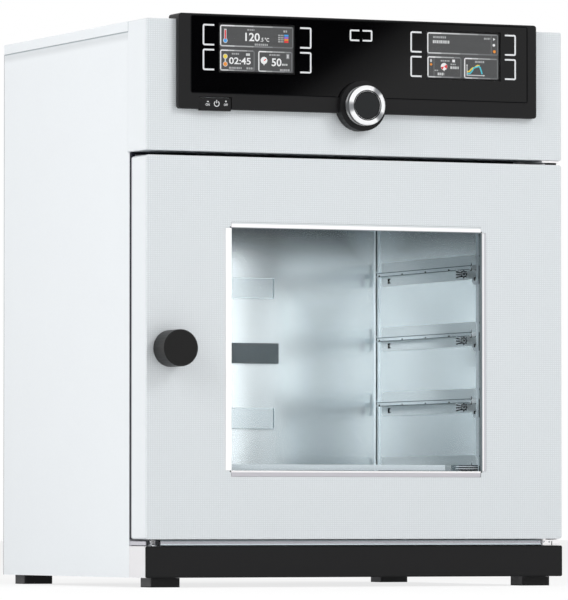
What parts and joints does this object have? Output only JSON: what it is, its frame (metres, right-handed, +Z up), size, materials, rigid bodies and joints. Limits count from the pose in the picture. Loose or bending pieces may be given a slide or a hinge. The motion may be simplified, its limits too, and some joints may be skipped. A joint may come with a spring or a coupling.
{
  "type": "vacuum drying oven",
  "caption": "Bench-top vacuum drying oven: steel chamber with shelf rails behind a thick glazed door that swings and latches, under a head with displays, turning ring, key and switch.",
  "frame": {"origin": "middle of the outer box in X and Y, at the underside of the feet in Z", "axes": "+Z up, -Y out of the door, +X to the right of someone facing the door"},
  "size_m": [0.55, 0.522, 0.6823],
  "materials": {
    "casing_steel": "fine textured satin",
    "white_steel": "satin",
    "grey_steel": "satin",
    "chamber_steel": "satin",
    "bright_steel": "polished",
    "black_plastic": "satin",
    "black_rubber": "matte",
    "trim": "gloss",
    "insulation": "matte",
    "seal": "satin",
    "brass": "machined",
    "board": "satin",
    "clear_glass": "polished",
    "black_glass": "gloss",
    "screen": "satin",
    "chrome": "polished"
  },
  "bodies": {
    "oven": {"left_side_panel": "casing_steel", "right_side_panel": "casing_steel", "top_cover": "casing_steel", "head_casing": "casing_steel", "base_pan": "grey_steel", "rear_panel": "grey_steel", "front_frame": "grey_steel", "encoder": "grey_steel", "power_unit": "grey_steel", "plinth_block": "white_steel", "plinth_front": "black_plastic", "shelf_socket": "black_plastic", "cockpit_bezel": "black_plastic", "mains_inlet": "black_plastic", "foot_front_left": "black_rubber", "foot_rear_left": "black_rubber", "foot_front_right": "black_rubber", "foot_rear_right": "black_rubber", "chamber": "chamber_steel", "shelf_rail_left_1": "chamber_steel", "shelf_rail_left_2": "chamber_steel", "shelf_rail_left_3": "chamber_steel", "shelf_rail_left_4": "chamber_steel", "shelf_rail_right_1": "chamber_steel", "shelf_rail_right_2": "chamber_steel", "shelf_rail_right_3": "chamber_steel", "shelf_rail_right_4": "chamber_steel", "socket_cover_1": "chamber_steel", "socket_cover_3": "chamber_steel", "insulation_jacket": "insulation", "door_seal": "seal", "hinge_bracket_upper": "bright_steel", "hinge_bracket_lower": "bright_steel", "hinge_pin_upper": "bright_steel", "hinge_pin_lower": "bright_steel", "latch_keeper": "bright_steel", "roller_bracket": "bright_steel", "vacuum_port": "bright_steel", "vent_port": "bright_steel", "pressure_sensor": "bright_steel", "vacuum_valve": "brass", "vent_valve": "brass", "cockpit_glass": "black_glass", "display_left": "screen", "display_right": "screen", "control_board": "board"},
    "door": {"door_shell": "casing_steel", "window_trim": "trim", "outer_pane": "clear_glass", "inner_glass": "clear_glass", "door_inner_frame": "grey_steel", "hinge_bush_upper": "black_plastic", "hinge_bush_lower": "black_plastic", "knob_bush": "brass"},
    "latch": {"door_knob": "black_plastic", "latch_spindle": "bright_steel"},
    "ring": {"control_ring": "chrome"},
    "key": {"confirm_key": "black_plastic"},
    "switch": {"main_switch": "black_plastic"},
    "roller": {"rest_roller": "bright_steel"}
  },
  "joints": [
    {"name": "door_hinge", "type": "hinge", "parent": "oven", "child": "door", "pos_m": [0.265, -0.21698, 0.28505], "axis": [0, 0, 1], "range_deg": [0, 120]},
    {"name": "door_knob_turn", "type": "hinge", "parent": "door", "child": "latch", "pos_m": [-0.244, -0.22698, 0.28325], "axis": [0, 1, 0], "range_deg": [0, 90]},
    {"name": "control_ring_turn", "type": "hinge", "parent": "oven", "child": "ring", "pos_m": [0.0014, -0.24298, 0.5773], "axis": [0, 1, 0], "continuous": true},
    {"name": "confirm_key_press", "type": "slide", "parent": "oven", "child": "key", "axis": [0, 1, 0], "range_m": [0, 0.001], "stiffness_N_per_m": 1500},
    {"name": "main_switch_press", "type": "slide", "parent": "oven", "child": "switch", "axis": [0, 1, 0], "range_m": [0, 0.003], "stiffness_N_per_m": 400},
    {"name": "rest_roller_spin", "type": "hinge", "parent": "oven", "child": "roller", "pos_m": [-0.258, -0.20698, 0.0536], "axis": [1, 0, 0], "continuous": true}
  ]
}
